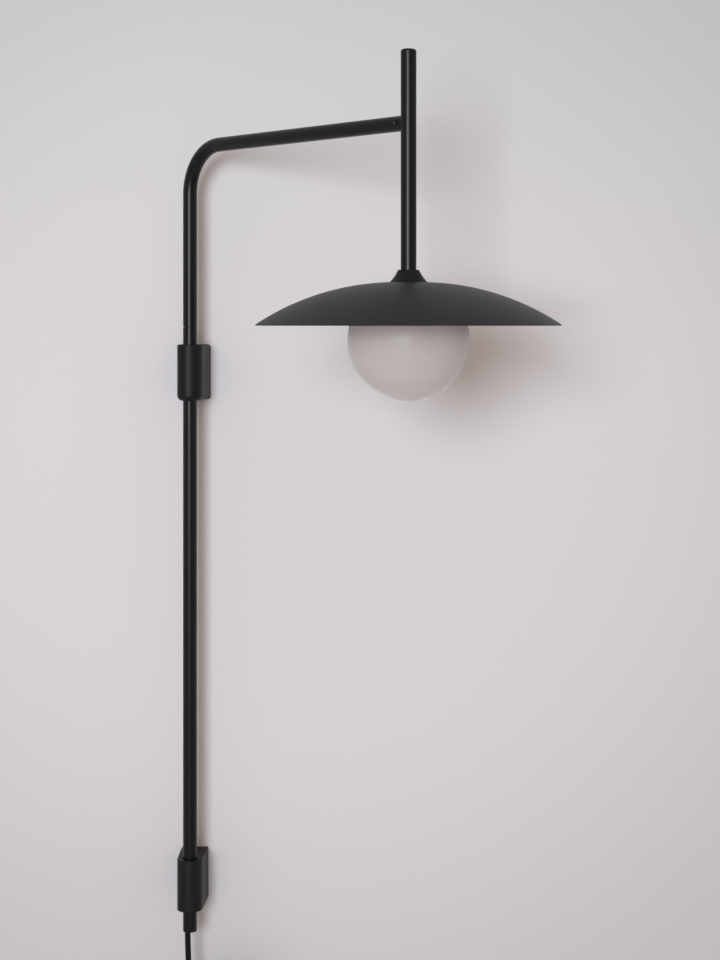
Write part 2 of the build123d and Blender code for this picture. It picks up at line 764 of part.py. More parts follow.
# The coil is a flat spiral in two layers. Its stations are where the cord crosses the coil's level
# middle line, on the left and on the right by turns.
station_radii = []
station_depths = []
for station in range(half_turns_in + 1):
    steps_left = half_turns_in - station
    reversal = coil_reversal_step if steps_left else 0.0
    station_radii.append(coil_inner_radius + reversal + steps_left * coil_pitch / 2)
    station_depths.append(cord_y)
for station in range(half_turns_out + 1):
    reversal = coil_reversal_step if station else 0.0
    station_radii.append(coil_inner_radius + reversal + station * coil_pitch / 2)
    station_depths.append(cord_y + coil_pitch)
coil_x = cord_hang_x + station_radii[0]
stations = []
for number, (radius, depth) in enumerate(zip(station_radii, station_depths)):
    side = 1 if number % 2 else -1
    stations.append((Vector(coil_x + side * radius, depth, coil_start), up * side))

with BuildPart() as cord_coil:
    with BuildLine() as coil_path:
        first_point, first_heading = stations[0]
        last_point, last_heading = stations[-1]
        Line(first_point - first_heading * cord_od, first_point)
        for (start, heading), (end, _) in zip(stations, stations[1:]):
            across = end - start
            quarter = start + across / 2 + heading * (across.length / 2)
            arc = TangentArc(start, quarter, tangent=heading)
            TangentArc(quarter, end, tangent=arc % 1)
        Line(last_point, last_point + last_heading * cord_od)
    with BuildSketch(Plane(origin=coil_path.line @ 0, z_dir=coil_path.line % 0)):
        Circle(cord_od / 2)
    sweep(path=coil_path.line)

coil_length = coil_path.wire().length
coil_samples = round(coil_length / coil_sample)
coil_points = coil_path.wire().positions([i / coil_samples for i in range(coil_samples + 1)])
apart = round(coil_neighbour / coil_sample)
nearest = min((a - b).length for i, a in enumerate(coil_points) for b in coil_points[i + apart:])
coil_gap = nearest - cord_od
coil_tube_volume = math.pi * cord_od**2 / 4 * coil_length
print(f"cord_coil: {coil_length:.1f} mm, least gap to itself {coil_gap:.2f} mm, "
      f"volume {cord_coil.part.volume / coil_tube_volume:.4f} of section times length")

tail_route = [last_point + last_heading * cord_od]
for right, back, down in tail_runs:
    tail_route.append(tail_route[-1] + Vector(right, back, -down))
cord_tail = cord_run("cord_tail", [tuple(point) for point in tail_route])

with BuildPart() as cord_tie:
    # The strap closes round the right side of the coil.
    bundle_inside = coil_inner_radius - cord_od / 2
    bundle_outside = station_radii[-2] + cord_od / 2
    bow = bundle_inside - math.sqrt(bundle_inside**2 - (tie_width / 2) ** 2)
    strap_left = coil_x + bundle_inside - bow - seat_gap
    strap_right = coil_x + bundle_outside + seat_gap
    strap_front = cord_y - cord_od / 2 - seat_gap
    strap_back = cord_y + coil_pitch + cord_od / 2 + seat_gap
    strap_middle = ((strap_left + strap_right) / 2, (strap_front + strap_back) / 2)
    strap_length = strap_right - strap_left
    strap_depth = strap_back - strap_front
    thickness_twice = 2 * tie_thickness
    with BuildSketch(Plane.XY.offset(coil_start - tie_width / 2)):
        with Locations(strap_middle):
            RectangleRounded(strap_length + thickness_twice, strap_depth + thickness_twice, thickness_twice)
            RectangleRounded(strap_length, strap_depth, tie_thickness, mode=Mode.SUBTRACT)
    extrude(amount=tie_width)

plug_entry = tail_route[-1]


def plug_plane(down):
    """Level plane across the plug, below the cord's end."""
    return Plane(origin=plug_entry - up * down, z_dir=up)


with BuildPart() as plug_body:
    with BuildSketch(plug_plane(0)):
        Circle(cord_od / 2 + edge_break)
    with BuildSketch(plug_plane(plug_boot_length)):
        Circle(plug_boot_radius)
    loft()
    with BuildSketch(plug_plane(plug_boot_length)):
        SlotOverall(plug_depth, plug_boot_radius * 2)
    with BuildSketch(plug_plane(plug_boot_length + plug_shoulder)):
        SlotOverall(plug_width, plug_depth)
    loft()
    with BuildSketch(plug_plane(plug_boot_length + plug_shoulder)):
        SlotOverall(plug_width, plug_depth)
    extrude(amount=-plug_front)

with BuildPart() as plug_pins:
    with BuildSketch(plug_plane(plug_boot_length + plug_shoulder + plug_front)):
        with GridLocations(plug_pin_spacing, 0, 2, 1):
            Circle(plug_pin_radius)
    extrude(amount=-plug_pin_length)
    fillet(plug_pins.faces().group_by(Axis.Z)[0].edges(), edge_break)

pieces = {
    "upper_wall_plate": upper_wall_plate,
    "lower_wall_plate": lower_wall_plate,
    "upper_bracket": upper_bracket,
    "lower_bracket": lower_bracket,
    "plate_grub_screws": plate_grub_screws,
    "pole_grub_screws": pole_grub_screws,
    "pole_tube": pole_tube,
    "pivot_bush": pivot_bush,
    "thrust_washer": thrust_washer,
    "cord_grip": cord_grip,
    "pole_cable": pole_cable,
    "cord_lead": cord_lead,
    "cord_coil": cord_coil,
    "cord_tail": cord_tail,
    "cord_tie": cord_tie,
    "plug_body": plug_body,
    "plug_pins": plug_pins,
    "pivot_spindle": pivot_spindle,
    "stop_pin": stop_pin,
    "retaining_ring": retaining_ring,
    "arm_tube": arm_tube,
    "arm_cable": arm_cable,
    "arm_end_plug": arm_end_plug,
    "arm_grub_screw": arm_grub_screw,
    "joint_stud": joint_stud,
    "stem_tube": stem_tube,
    "stem_cap": stem_cap,
    "stem_barrel_nut": stem_barrel_nut,
    "stem_wires": stem_wires,
    "stem_insert": stem_insert,
    "shade_cap": shade_cap,
    "shade": shade,
    "shade_nipple": shade_nipple,
    "shade_washer": shade_washer,
    "holder_cup": holder_cup,
    "socket_bracket": socket_bracket,
    "nipple_nut": nipple_nut,
    "lamp_socket": lamp_socket,
    "socket_screws": socket_screws,
    "glass_globe": glass_globe,
    "globe_collar": globe_collar,
    "bulb_base": bulb_base,
    "bulb_pins": bulb_pins,
    "bulb_capsule": bulb_capsule,
}
for name, piece in pieces.items():
    piece.part.label = name
    export_step(piece.part, f"parts/{name}.step")
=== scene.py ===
"""Looks of the swing arm wall lamp: finishes, glass, cord and light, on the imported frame. Metres."""

import json
import math

import bmesh
import bpy
from mathutils import Matrix, Vector


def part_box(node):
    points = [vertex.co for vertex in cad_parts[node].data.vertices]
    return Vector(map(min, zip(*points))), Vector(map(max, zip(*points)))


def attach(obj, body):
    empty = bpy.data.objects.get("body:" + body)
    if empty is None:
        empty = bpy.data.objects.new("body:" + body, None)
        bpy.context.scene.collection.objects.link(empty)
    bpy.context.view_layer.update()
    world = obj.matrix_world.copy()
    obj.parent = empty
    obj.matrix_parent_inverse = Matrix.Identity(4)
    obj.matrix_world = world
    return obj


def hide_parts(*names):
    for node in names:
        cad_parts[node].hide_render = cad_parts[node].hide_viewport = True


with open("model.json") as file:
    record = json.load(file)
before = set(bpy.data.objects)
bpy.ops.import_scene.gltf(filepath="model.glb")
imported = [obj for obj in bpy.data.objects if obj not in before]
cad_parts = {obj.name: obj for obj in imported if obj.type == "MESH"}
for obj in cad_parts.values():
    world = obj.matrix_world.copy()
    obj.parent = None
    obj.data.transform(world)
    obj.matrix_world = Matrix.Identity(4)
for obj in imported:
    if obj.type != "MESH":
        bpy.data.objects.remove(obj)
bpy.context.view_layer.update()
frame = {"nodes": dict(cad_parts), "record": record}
nodes = frame["nodes"]
MM = 0.001

# Places taken from the frame
stem_low, stem_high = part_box("stem_tube")
stem_axis = Vector(((stem_low.x + stem_high.x) / 2, (stem_low.y + stem_high.y) / 2, 0))
pole_low, pole_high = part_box("pole_tube")
pole_axis = Vector(((pole_low.x + pole_high.x) / 2, (pole_low.y + pole_high.y) / 2, 0))

# Cord, in millimetres: from the grip in the pole's foot to the coil, and from the coil to the plug
cord_diameter = 6.4
lead_route = (
    (-2.6, -45.0, -618.0),
    (-2.6, -45.0, -638.0),
    (-0.9, -45.0, -678.0),
    (-0.9, -45.0, -715.6),
)
tail_route = (
    (-4.35, -38.1, -728.4),
    (-4.35, -38.1, -752.4),
    (-2.6, -39.4, -782.4),
    (-2.6, -39.4, -806.4),
)
coil_middle = Vector((46.0, 0.0, -722.0))
coil_front = -45.0
coil_inner_radius = 25.0
coil_pitch = 6.9
coil_reversal_step = 1.2
half_turns_in = 6
half_turns_out = 7
points_per_half_turn = 9
cord_sides = 16
cord_steps_per_point = 8


def scene_object(name, data):
    """Links a new object that holds the data."""
    made = bpy.data.objects.new(name, data)
    bpy.context.scene.collection.objects.link(made)
    return made


def finished_piece(name, build, material, sharp_angle=35):
    """Turns a bmesh into a piece at the origin, smooth except at its sharp edges."""
    mesh = bpy.data.meshes.new(name)
    build.to_mesh(mesh)
    build.free()
    mesh.polygons.foreach_set("use_smooth", [True] * len(mesh.polygons))
    mesh.set_sharp_from_angle(angle=math.radians(sharp_angle))
    mesh.materials.append(material)
    return scene_object(name, mesh)


# Materials
def srgb(code):
    """Linear colour of an sRGB hex value."""
    values = [int(code[i:i + 2], 16) / 255 for i in (1, 3, 5)]
    linear = [v / 12.92 if v <= 0.04045 else ((v + 0.055) / 1.055) ** 2.4 for v in values]
    return (*linear, 1.0)


def add(tree, kind, inputs=None, **settings):
    """Adds a node, sets its properties, and fills or links its inputs."""
    made = tree.nodes.new(kind)
    for name, value in settings.items():
        setattr(made, name, value)
    for socket, value in (inputs or {}).items():
        if isinstance(value, bpy.types.NodeSocket):
            tree.links.new(value, made.inputs[socket])
        else:
            made.inputs[socket].default_value = value
    return made


def new_material(name, **surface):
    """A material with one Principled surface, its plain values on the shader's own sockets."""
    made = bpy.data.materials.new(name)
    made.use_nodes = True
    shader = made.node_tree.nodes["Principled BSDF"]
    for socket, value in surface.items():
        shader.inputs[socket.replace("_", " ")].default_value = value
    return made, made.node_tree, shader


def per(size_mm):
    """Texture scale at which a pattern repeats every so many millimetres."""
    return 1 / (size_mm * MM)


def plain_finish(name, dark, pale, drift, grain, rough, spread, depth, **surface):
    """A finish whose tone drifts between two colours, with a fine grain in its gloss and its face."""
    made, tree, shader = new_material(name, **surface)
    place = add(tree, "ShaderNodeTexCoord").outputs["Object"]
    cloud = add(tree, "ShaderNodeTexNoise", {"Vector": place, "Scale": per(drift), "Detail": 3.0})
    tone = add(tree, "ShaderNodeMix", {"Factor": cloud.outputs["Fac"], "A": srgb(dark), "B": srgb(pale)},
               data_type="RGBA")
    tree.links.new(tone.outputs["Result"], shader.inputs["Base Color"])
    pebbles = add(tree, "ShaderNodeTexNoise", {"Vector": place, "Scale": per(grain), "Detail": 2.0})
    gloss = add(tree, "ShaderNodeMapRange", {"Value": pebbles.outputs["Fac"], "To Min": rough - spread,
                                             "To Max": rough + spread})
    tree.links.new(gloss.outputs["Result"], shader.inputs["Roughness"])
    bump = add(tree, "ShaderNodeBump", {"Height": pebbles.outputs["Fac"], "Strength": 0.3,
                                        "Distance": depth * MM})
    tree.links.new(bump.outputs["Normal"], shader.inputs["Normal"])
    return made


def turned_aluminium():
    """Aluminium from the lathe: bright, with fine turning rings that streak the gloss round the axis."""
    ring_step = 0.7  # the real rings are about 0.2 mm apart; they are drawn coarser, so that they show
    ring_depth = 0.03
    made, tree, shader = new_material("turned_aluminium", Metallic=1.0)
    place = add(tree, "ShaderNodeTexCoord").outputs["Object"]
    centred = add(tree, "ShaderNodeMapping", {"Vector": place, "Location": -stem_axis}).outputs["Vector"]
    parts = add(tree, "ShaderNodeSeparateXYZ", {"Vector": centred})
    level = add(tree, "ShaderNodeCombineXYZ", {"X": parts.outputs["X"], "Y": parts.outputs["Y"]}).outputs[0]
    radius = add(tree, "ShaderNodeVectorMath", {0: level}, operation="LENGTH").outputs["Value"]
    travel = add(tree, "ShaderNodeMath", {0: radius, 1: parts.outputs["Z"]}, operation="ADD").outputs[0]
    rings = add(tree, "ShaderNodeTexNoise", {"W": travel, "Scale": per(ring_step), "Detail": 2.0},
                noise_dimensions="1D").outputs["Fac"]
    tone = add(tree, "ShaderNodeMix", {"Factor": rings, "A": srgb("#b3b5b8"), "B": srgb("#d0d1d3")},
               data_type="RGBA")
    tree.links.new(tone.outputs["Result"], shader.inputs["Base Color"])
    gloss = add(tree, "ShaderNodeMapRange", {"Value": rings, "To Min": 0.24, "To Max": 0.42})
    tree.links.new(gloss.outputs["Result"], shader.inputs["Roughness"])
    bump = add(tree, "ShaderNodeBump", {"Height": rings, "Strength": 0.4, "Distance": ring_depth * MM})
    tree.links.new(bump.outputs["Normal"], shader.inputs["Normal"])
    return made


def satin_glass():
    """Blown glass etched with acid: light scatters on its way through, and the rim and one spot gleam."""
    pit_size = 0.8  # the etched pits are far under a millimetre; they are drawn coarser, so that they show
    pit_depth = 0.03
    made, tree, shader = new_material("satin_etched_glass", IOR=1.3, Transmission_Weight=0.8,
                                      Base_Color=srgb("#f6f1ee"), Sheen_Weight=0.6, Sheen_Roughness=0.3,
                                      Coat_Weight=0.5, Coat_Roughness=0.35)
    place = add(tree, "ShaderNodeTexCoord").outputs["Object"]
    pits = add(tree, "ShaderNodeTexNoise", {"Vector": place, "Scale": per(pit_size), "Detail": 3.0})
    gloss = add(tree, "ShaderNodeMapRange", {"Value": pits.outputs["Fac"], "To Min": 0.85, "To Max": 0.95})
    tree.links.new(gloss.outputs["Result"], shader.inputs["Roughness"])
    bump = add(tree, "ShaderNodeBump", {"Height": pits.outputs["Fac"], "Strength": 0.15,
                                        "Distance": pit_depth * MM})
    tree.links.new(bump.outputs["Normal"], shader.inputs["Normal"])
    return made


def quartz_glass():
    """Clear quartz of a small capsule bulb: sharp and colourless, with faint waves from the flame."""
    wave_size = 6
    wave_depth = 0.2
    made, tree, shader = new_material("clear_quartz", IOR=1.46, Transmission_Weight=1.0, Roughness=0.02,
                                      Base_Color=srgb("#f8f9f9"))
    place = add(tree, "ShaderNodeTexCoord").outputs["Object"]
    waves = add(tree, "ShaderNodeTexNoise", {"Vector": place, "Scale": per(wave_size), "Detail": 1.0})
    bump = add(tree, "ShaderNodeBump", {"Height": waves.outputs["Fac"], "Strength": 0.2,
                                        "Distance": wave_depth * MM})
    tree.links.new(bump.outputs["Normal"], shader.inputs["Normal"])
    return made


def sleeved_pins():
    """Plug pins: bare brass tips, and moulded insulating sleeves up to the plug."""
    bare_tip = 9.0 * MM
    worn_size = 3
    low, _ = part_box("plug_pins")
    made, tree, shader = new_material("brass_pins_with_sleeves")
    place = add(tree, "ShaderNodeTexCoord").outputs["Object"]
    height = add(tree, "ShaderNodeSeparateXYZ", {"Vector": place}).outputs["Z"]
    bare = add(tree, "ShaderNodeMath", {0: height, 1: low.z + bare_tip}, operation="LESS_THAN").outputs[0]
    worn = add(tree, "ShaderNodeTexNoise", {"Vector": place, "Scale": per(worn_size),
                                            "Detail": 3.0}).outputs["Fac"]
    metal = add(tree, "ShaderNodeMix", {"Factor": worn, "A": srgb("#b8924a"), "B": srgb("#a17a38")},
                data_type="RGBA")
    colour = add(tree, "ShaderNodeMix", {"Factor": bare, "A": srgb("#151516"),
                                         "B": metal.outputs["Result"]}, data_type="RGBA")
    tree.links.new(colour.outputs["Result"], shader.inputs["Base Color"])
    tree.links.new(bare, shader.inputs["Metallic"])
    gloss = add(tree, "ShaderNodeMapRange", {"Value": worn, "To Min": 0.28, "To Max": 0.45})
    tree.links.new(gloss.outputs["Result"], shader.inputs["Roughness"])
    return made


def woven_strap():
    """Hook-and-loop strap: a black nylon weave under a nap of small loops, dull with a soft sheen."""
    thread = 0.9
    loop_size = 0.7
    pile_depth = 0.3
    made, tree, shader = new_material("hook_and_loop_nylon", Roughness=0.9, Sheen_Weight=0.3,
                                      Sheen_Roughness=0.5)
    place = add(tree, "ShaderNodeTexCoord").outputs["Object"]
    parts = add(tree, "ShaderNodeSeparateXYZ", {"Vector": place})
    ridges = []
    for axis in ("X", "Z"):
        turn = add(tree, "ShaderNodeMath", {0: parts.outputs[axis], 1: math.pi * per(thread)},
                   operation="MULTIPLY").outputs[0]
        wave = add(tree, "ShaderNodeMath", {0: turn}, operation="SINE").outputs[0]
        ridges.append(add(tree, "ShaderNodeMath", {0: wave}, operation="ABSOLUTE").outputs[0])
    weave = add(tree, "ShaderNodeMath", {0: ridges[0], 1: ridges[1]}, operation="MULTIPLY").outputs[0]
    nap = add(tree, "ShaderNodeTexNoise", {"Vector": place, "Scale": per(loop_size),
                                           "Detail": 4.0}).outputs["Fac"]
    pile = add(tree, "ShaderNodeMath", {0: weave, 1: nap}, operation="ADD").outputs[0]
    tone = add(tree, "ShaderNodeMix", {"Factor": nap, "A": srgb("#0d0d0e"), "B": srgb("#2a2a2c")},
               data_type="RGBA")
    tree.links.new(tone.outputs["Result"], shader.inputs["Base Color"])
    bump = add(tree, "ShaderNodeBump", {"Height": pile, "Strength": 0.6, "Distance": pile_depth * MM})
    tree.links.new(bump.outputs["Normal"], shader.inputs["Normal"])
    return made


def braided_textile():
    """Braided cotton over rubber: eight yarns each way, over one and under one, with a paler tracer, and
    painted shade in the creases between the yarns.
    """
    yarns = 8.0
    yarn_step = 2.1
    yarn_depth = 0.35
    tracer_every = 4.0
    made, tree, shader = new_material("braided_textile", Roughness=0.9, Sheen_Weight=0.03,
                                      Specular_IOR_Level=0.2)
    uv = add(tree, "ShaderNodeSeparateXYZ", {"Vector": add(tree, "ShaderNodeTexCoord").outputs["UV"]})
    around = add(tree, "ShaderNodeMath", {0: uv.outputs["X"], 1: yarns}, operation="MULTIPLY").outputs[0]
    along = add(tree, "ShaderNodeMath", {0: uv.outputs["Y"], 1: per(yarn_step)},
                operation="MULTIPLY").outputs[0]
    right_lay = add(tree, "ShaderNodeMath", {0: around, 1: along}, operation="ADD").outputs[0]
    left_lay = add(tree, "ShaderNodeMath", {0: around, 1: along}, operation="SUBTRACT").outputs[0]
    ridges = []
    counts = []
    for lay in (right_lay, left_lay):
        turn = add(tree, "ShaderNodeMath", {0: lay, 1: math.pi}, operation="MULTIPLY").outputs[0]
        wave = add(tree, "ShaderNodeMath", {0: turn}, operation="SINE").outputs[0]
        ridges.append(add(tree, "ShaderNodeMath", {0: wave}, operation="ABSOLUTE").outputs[0])
        counts.append(add(tree, "ShaderNodeMath", {0: lay}, operation="FLOOR").outputs[0])
    both = add(tree, "ShaderNodeMath", {0: counts[0], 1: counts[1]}, operation="ADD").outputs[0]
    over = add(tree, "ShaderNodeMath", {0: both, 1: 2.0}, operation="FLOORED_MODULO").outputs[0]
    yarn = add(tree, "ShaderNodeMix", {"Factor": over, "A": ridges[1], "B": ridges[0]}).outputs["Result"]
    tracer_count = add(tree, "ShaderNodeMath", {0: counts[0], 1: tracer_every},
                       operation="FLOORED_MODULO").outputs[0]
    tracer = add(tree, "ShaderNodeMath", {0: tracer_count, 1: 0.5}, operation="LESS_THAN").outputs[0]
    shown = add(tree, "ShaderNodeMath", {0: tracer, 1: over}, operation="MULTIPLY").outputs[0]
    # Painted shade: the yarns' colour darkens into the creases between them and is palest on their crests.
    crease_painted_shade = add(tree, "ShaderNodeMix", {"Factor": yarn, "A": srgb("#030303"), "B": srgb("#0c0c0d")},
                 data_type="RGBA")
    colour = add(tree, "ShaderNodeMix", {"Factor": shown, "A": crease_painted_shade.outputs["Result"],
                                         "B": srgb("#262627")}, data_type="RGBA")
    tree.links.new(colour.outputs["Result"], shader.inputs["Base Color"])
    bump = add(tree, "ShaderNodeBump", {"Height": yarn, "Strength": 0.7, "Distance": yarn_depth * MM})
    tree.links.new(bump.outputs["Normal"], shader.inputs["Normal"])
    return made


# Powder coat on the steel tubes: a baked matte skin, nearly black, that gives a soft narrow streak.
steel_coat = plain_finish("powder_coated_steel", "#060607", "#0a0a0b", drift=70, grain=0.9, rough=0.33,
                          spread=0.03, depth=0.02, Specular_IOR_Level=0.24)
# Powder coat on the cast brackets: as dark as on the tubes, with a softer gleam on their round fronts.
casting_coat = plain_finish("powder_coated_casting", "#060607", "#0b0b0c", drift=50, grain=0.9, rough=0.5,
                            spread=0.04, depth=0.04, Specular_IOR_Level=0.24)
# Powder coat on the spun aluminium shade: flatter and paler, so that it shows wide soft gradients.
aluminium_coat = plain_finish("powder_coated_aluminium", "#0c0d0e", "#111213", drift=70, grain=0.9,
                              rough=0.5, spread=0.04, depth=0.04, Specular_IOR_Level=0.41)
# Bright zinc plate: pale metal with a faint yellow and blue drift of the passivation.
zinc_plate = plain_finish("zinc_plated_steel", "#a9aeb6", "#bcb9ac", drift=6, grain=0.5, rough=0.34,
                          spread=0.08, depth=0.02, Metallic=1.0)
# Black oxide on small steel screws: a thin dark skin with a dull metal gleam.
black_oxide = plain_finish("black_oxide_steel", "#141415", "#222122", drift=4, grain=0.4, rough=0.42,
                           spread=0.08, depth=0.02, Metallic=0.6)
# Uncoated brass: warm metal, a little browner where hands and heat have dulled it.
bare_brass = plain_finish("uncoated_brass", "#b8924a", "#9d7636", drift=5, grain=0.4, rough=0.3,
                          spread=0.07, depth=0.02, Metallic=1.0)
# Machined black acetal: smooth, slightly waxy plastic.
acetal = plain_finish("black_acetal", "#131314", "#19191a", drift=10, grain=0.6, rough=0.42, spread=0.05,
                      depth=0.02)
# Moulded black plastic with a spark-eroded grain: dull, with a fine leathery face.
moulded_plastic = plain_finish("moulded_black_plastic", "#121213", "#18181a", drift=12, grain=0.5,
                               rough=0.55, spread=0.05, depth=0.08)
# Silicone wire insulation: pale grey, soft and slightly greasy.
silicone = plain_finish("silicone_insulation", "#c6bfb3", "#d2ccc2", drift=8, grain=0.8, rough=0.5,
                        spread=0.05, depth=0.02)
# Steatite ceramic: dense off-white body with fine specks under a thin glaze.
steatite = plain_finish("steatite_ceramic", "#d9d2c3", "#e7e2d7", drift=1.3, grain=0.9, rough=0.34,
                        spread=0.06, depth=0.03)

finishes = {
    "black_powder_coated_steel": steel_coat,
    "black_powder_coated_aluminium": aluminium_coat,
    "zinc_plated_steel": zinc_plate,
    "black_oxide_steel": black_oxide,
    "brass": bare_brass,
    "turned_aluminium": turned_aluminium(),
    "acetal": acetal,
    "textile_cord": braided_textile(),
    "moulded_black_plastic": moulded_plastic,
    "hook_and_loop_strap": woven_strap(),
    "silicone_insulation": silicone,
    "steatite_ceramic": steatite,
    "satin_glass": satin_glass(),
    "clear_glass": quartz_glass(),
}
for row in frame["record"]["subparts"]:
    slots = nodes[row["node"]].data.materials
    slots.clear()
    slots.append(finishes[row["material_slot"]])
for name in ("upper_bracket", "lower_bracket", "shade_cap"):
    nodes[name].data.materials[0] = casting_coat
nodes["plug_pins"].data.materials[0] = sleeved_pins()


# Cord
def cord_points():
    """Control points of the cord: the lead, the two layers of the coil, and the tail."""
    points = [Vector(p) for p in lead_route]
    stations = []
    for number in range(half_turns_in + half_turns_out + 2):
        inward = number <= half_turns_in
        steps = half_turns_in - number if inward else number - half_turns_in - 1
        radius = coil_inner_radius + steps * coil_pitch / 2 + (coil_reversal_step if steps else 0)
        side = 1 if number % 2 else -1
        depth = coil_front if inward else coil_front + coil_pitch
        stations.append((coil_middle + Vector((side * radius, depth, 0)), Vector((0, 0, side))))
    # The control points stand outside the turns, so that the line touches their circles.
    outside = 1 / math.cos(math.pi / points_per_half_turn / 2)
    for (start, heading), (end, _) in zip(stations, stations[1:]):
        middle = (start + end) / 2
        radius = (end - start).length / 2
        for step in range(points_per_half_turn):
            turn = math.pi * (step + 0.5) / points_per_half_turn
            reach = (start - middle) * math.cos(turn) + heading * radius * math.sin(turn)
            points.append(middle + reach * outside)
    points += [Vector(p) for p in tail_route]
    return [p * MM for p in points]


def cord_line():
    """Points along the smooth line that the control points give."""
    data = bpy.data.curves.new("cord_route", "CURVE")
    data.dimensions = "3D"
    data.resolution_u = cord_steps_per_point
    points = cord_points()
    spline = data.splines.new("NURBS")
    spline.points.add(len(points) - 1)
    for place, point in zip(spline.points, points):
        place.co = (*point, 1.0)
    spline.order_u = 3
    spline.use_endpoint_u = True
    route = scene_object("cord_route", data)
    mesh = bpy.data.meshes.new_from_object(route.evaluated_get(bpy.context.evaluated_depsgraph_get()))
    line = [v.co.copy() for v in mesh.vertices]
    bpy.data.objects.remove(route)
    bpy.data.meshes.remove(mesh)
    return line


def swept_tube(name, line, radius, sides):
    """Round tube along a line, with its turn in U and its length in metres in V."""
    mesh = bpy.data.meshes.new(name)
    build = bmesh.new()
    uv = build.loops.layers.uv.new("UVMap")
    travelled = [0.0]
    for a, b in zip(line, line[1:]):
        travelled.append(travelled[-1] + (b - a).length)
    rings = []
    across = Vector((1, 0, 0))
    for i, point in enumerate(line):
        heading = (line[min(i + 1, len(line) - 1)] - line[max(i - 1, 0)]).normalized()
        across = (across - heading * across.dot(heading)).normalized()
        turned = Matrix((across, heading.cross(across), heading)).transposed().to_4x4()
        square = Matrix.Translation(point) @ turned
        rings.append(bmesh.ops.create_circle(build, radius=radius, segments=sides, matrix=square)["verts"])
    for i, (low, high) in enumerate(zip(rings, rings[1:])):
        for j in range(sides):
            k = (j + 1) % sides
            face = build.faces.new((low[j], low[k], high[k], high[j]))
            face.smooth = True
            turns = (j / sides, (j + 1) / sides, (j + 1) / sides, j / sides)
            lengths = (travelled[i], travelled[i], travelled[i + 1], travelled[i + 1])
            for loop, u, v in zip(face.loops, turns, lengths):
                loop[uv].uv = (u, v)
    build.faces.new(list(reversed(rings[0])))
    build.faces.new(rings[-1])
    build.to_mesh(mesh)
    build.free()
    return scene_object(name, mesh)


# Strap round the coil
strap_thickness = 1.3 * MM
strap_corner = 2.4 * MM
strap_tip_radius = 2.6 * MM
strap_tip_segments = 5
strap_start_share = 0.3  # where the inner end lies, across the strap's front
strap_end_share = 0.86  # where the free end lies
strap_step_share = 0.7  # of the way to the inner end, in which the free end steps over it
strap_tip_share = 0.2  # of the free end, which lifts
strap_tip_lift = 0.7 * MM
strap_turn_steps = 6


def cord_strap():
    """Hook-and-loop strap: once round the cords, with its free end pressed over its own front."""
    low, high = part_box("cord_tie")
    left, right = low.x + strap_thickness, high.x - strap_thickness
    front, back = low.y + strap_thickness, high.y - strap_thickness
    start = left + (right - left) * strap_start_share
    end = left + (right - left) * strap_end_share
    build = bmesh.new()
    edge = build.edges.new([build.verts.new((start, front, z)) for z in (low.z, high.z)])

    def run(edge, offset):
        """Carries the strap's edge straight on."""
        made = bmesh.ops.extrude_edge_only(build, edges=[edge])["geom"]
        moved = [g for g in made if isinstance(g, bmesh.types.BMVert)]
        bmesh.ops.translate(build, verts=moved, vec=offset)
        return next(g for g in made if isinstance(g, bmesh.types.BMEdge) and set(g.verts) == set(moved))

    def bend(edge, x, y):
        """Carries the strap's edge a quarter turn round a corner."""
        made = bmesh.ops.spin(build, geom=[edge, *edge.verts], cent=(x, y, 0), axis=(0, 0, 1),
                              angle=math.pi / 2, steps=strap_turn_steps)["geom_last"]
        return next(g for g in made if isinstance(g, bmesh.types.BMEdge))

    corner = strap_corner
    edge = run(edge, (right - corner - start, 0, 0))
    edge = bend(edge, right - corner, front + corner)
    edge = run(edge, (0, back - front - 2 * corner, 0))
    edge = bend(edge, right - corner, back - corner)
    edge = run(edge, (left - right + 2 * corner, 0, 0))
    edge = bend(edge, left + corner, back - corner)
    edge = run(edge, (0, front - back + 2 * corner, 0))
    edge = bend(edge, left + corner, front + corner)
    # The free end steps over the inner end, runs along it and lifts a little at its tip.
    edge = run(edge, ((start - left - corner) * strap_step_share, -strap_thickness, 0))
    edge = run(edge, ((end - start) * (1 - strap_tip_share), 0, 0))
    edge = run(edge, ((end - start) * strap_tip_share, -strap_tip_lift, 0))
    bmesh.ops.bevel(build, geom=list(edge.verts), offset=strap_tip_radius, segments=strap_tip_segments,
                    profile=0.5, affect="VERTICES", material=-1)
    bmesh.ops.recalc_face_normals(build, faces=build.faces)
    outward = sum(f.normal.dot(f.calc_center_median() - (low + high) / 2) for f in build.faces)
    thickness = strap_thickness if outward < 0 else -strap_thickness
    bmesh.ops.solidify(build, geom=build.faces[:], thickness=thickness)
    bmesh.ops.recalc_face_normals(build, faces=build.faces)
    return finished_piece("cord_strap", build, finishes["hook_and_loop_strap"])


# Plug
boot_length = 22.0 * MM
boot_root = 3.0 * MM  # boot inside the shoulder
boot_tip_radius = 3.7 * MM
boot_foot_radius = 4.7 * MM
boot_ribs = 5
boot_rib_height = 0.75 * MM
boot_rib_pitch = 3.7 * MM
boot_rib_width = 2.0 * MM
boot_rib_slope = 0.3 * MM
boot_rib_start = 0.4  # of a pitch, from the boot's tip
boot_sides = 32
shoulder_length = 12.0 * MM
shoulder_steps = 6
shoulder_top_width = 13.7 * MM
shoulder_top_depth = 10.4 * MM
plug_side_share = 0.49  # of the body's depth: the sides are round, with a narrow flat between
plug_side_segments = 8
plug_front_bevel = 1.4 * MM
plug_front_segments = 4
plug_front_rim = 2.4 * MM
plug_front_sink = 0.7 * MM
grip_ridges = 4
grip_ridge_pitch = 2.6 * MM
grip_ridge_size = Vector((15.0, 1.1, 1.2)) * MM
grip_ridge_bevel = 0.4 * MM
grip_ridge_segments = 2
merge_distance = 0.001 * MM


def lowest_face(build):
    """The face of a bmesh that lies lowest."""
    return min(build.faces, key=lambda face: face.calc_center_median().z)


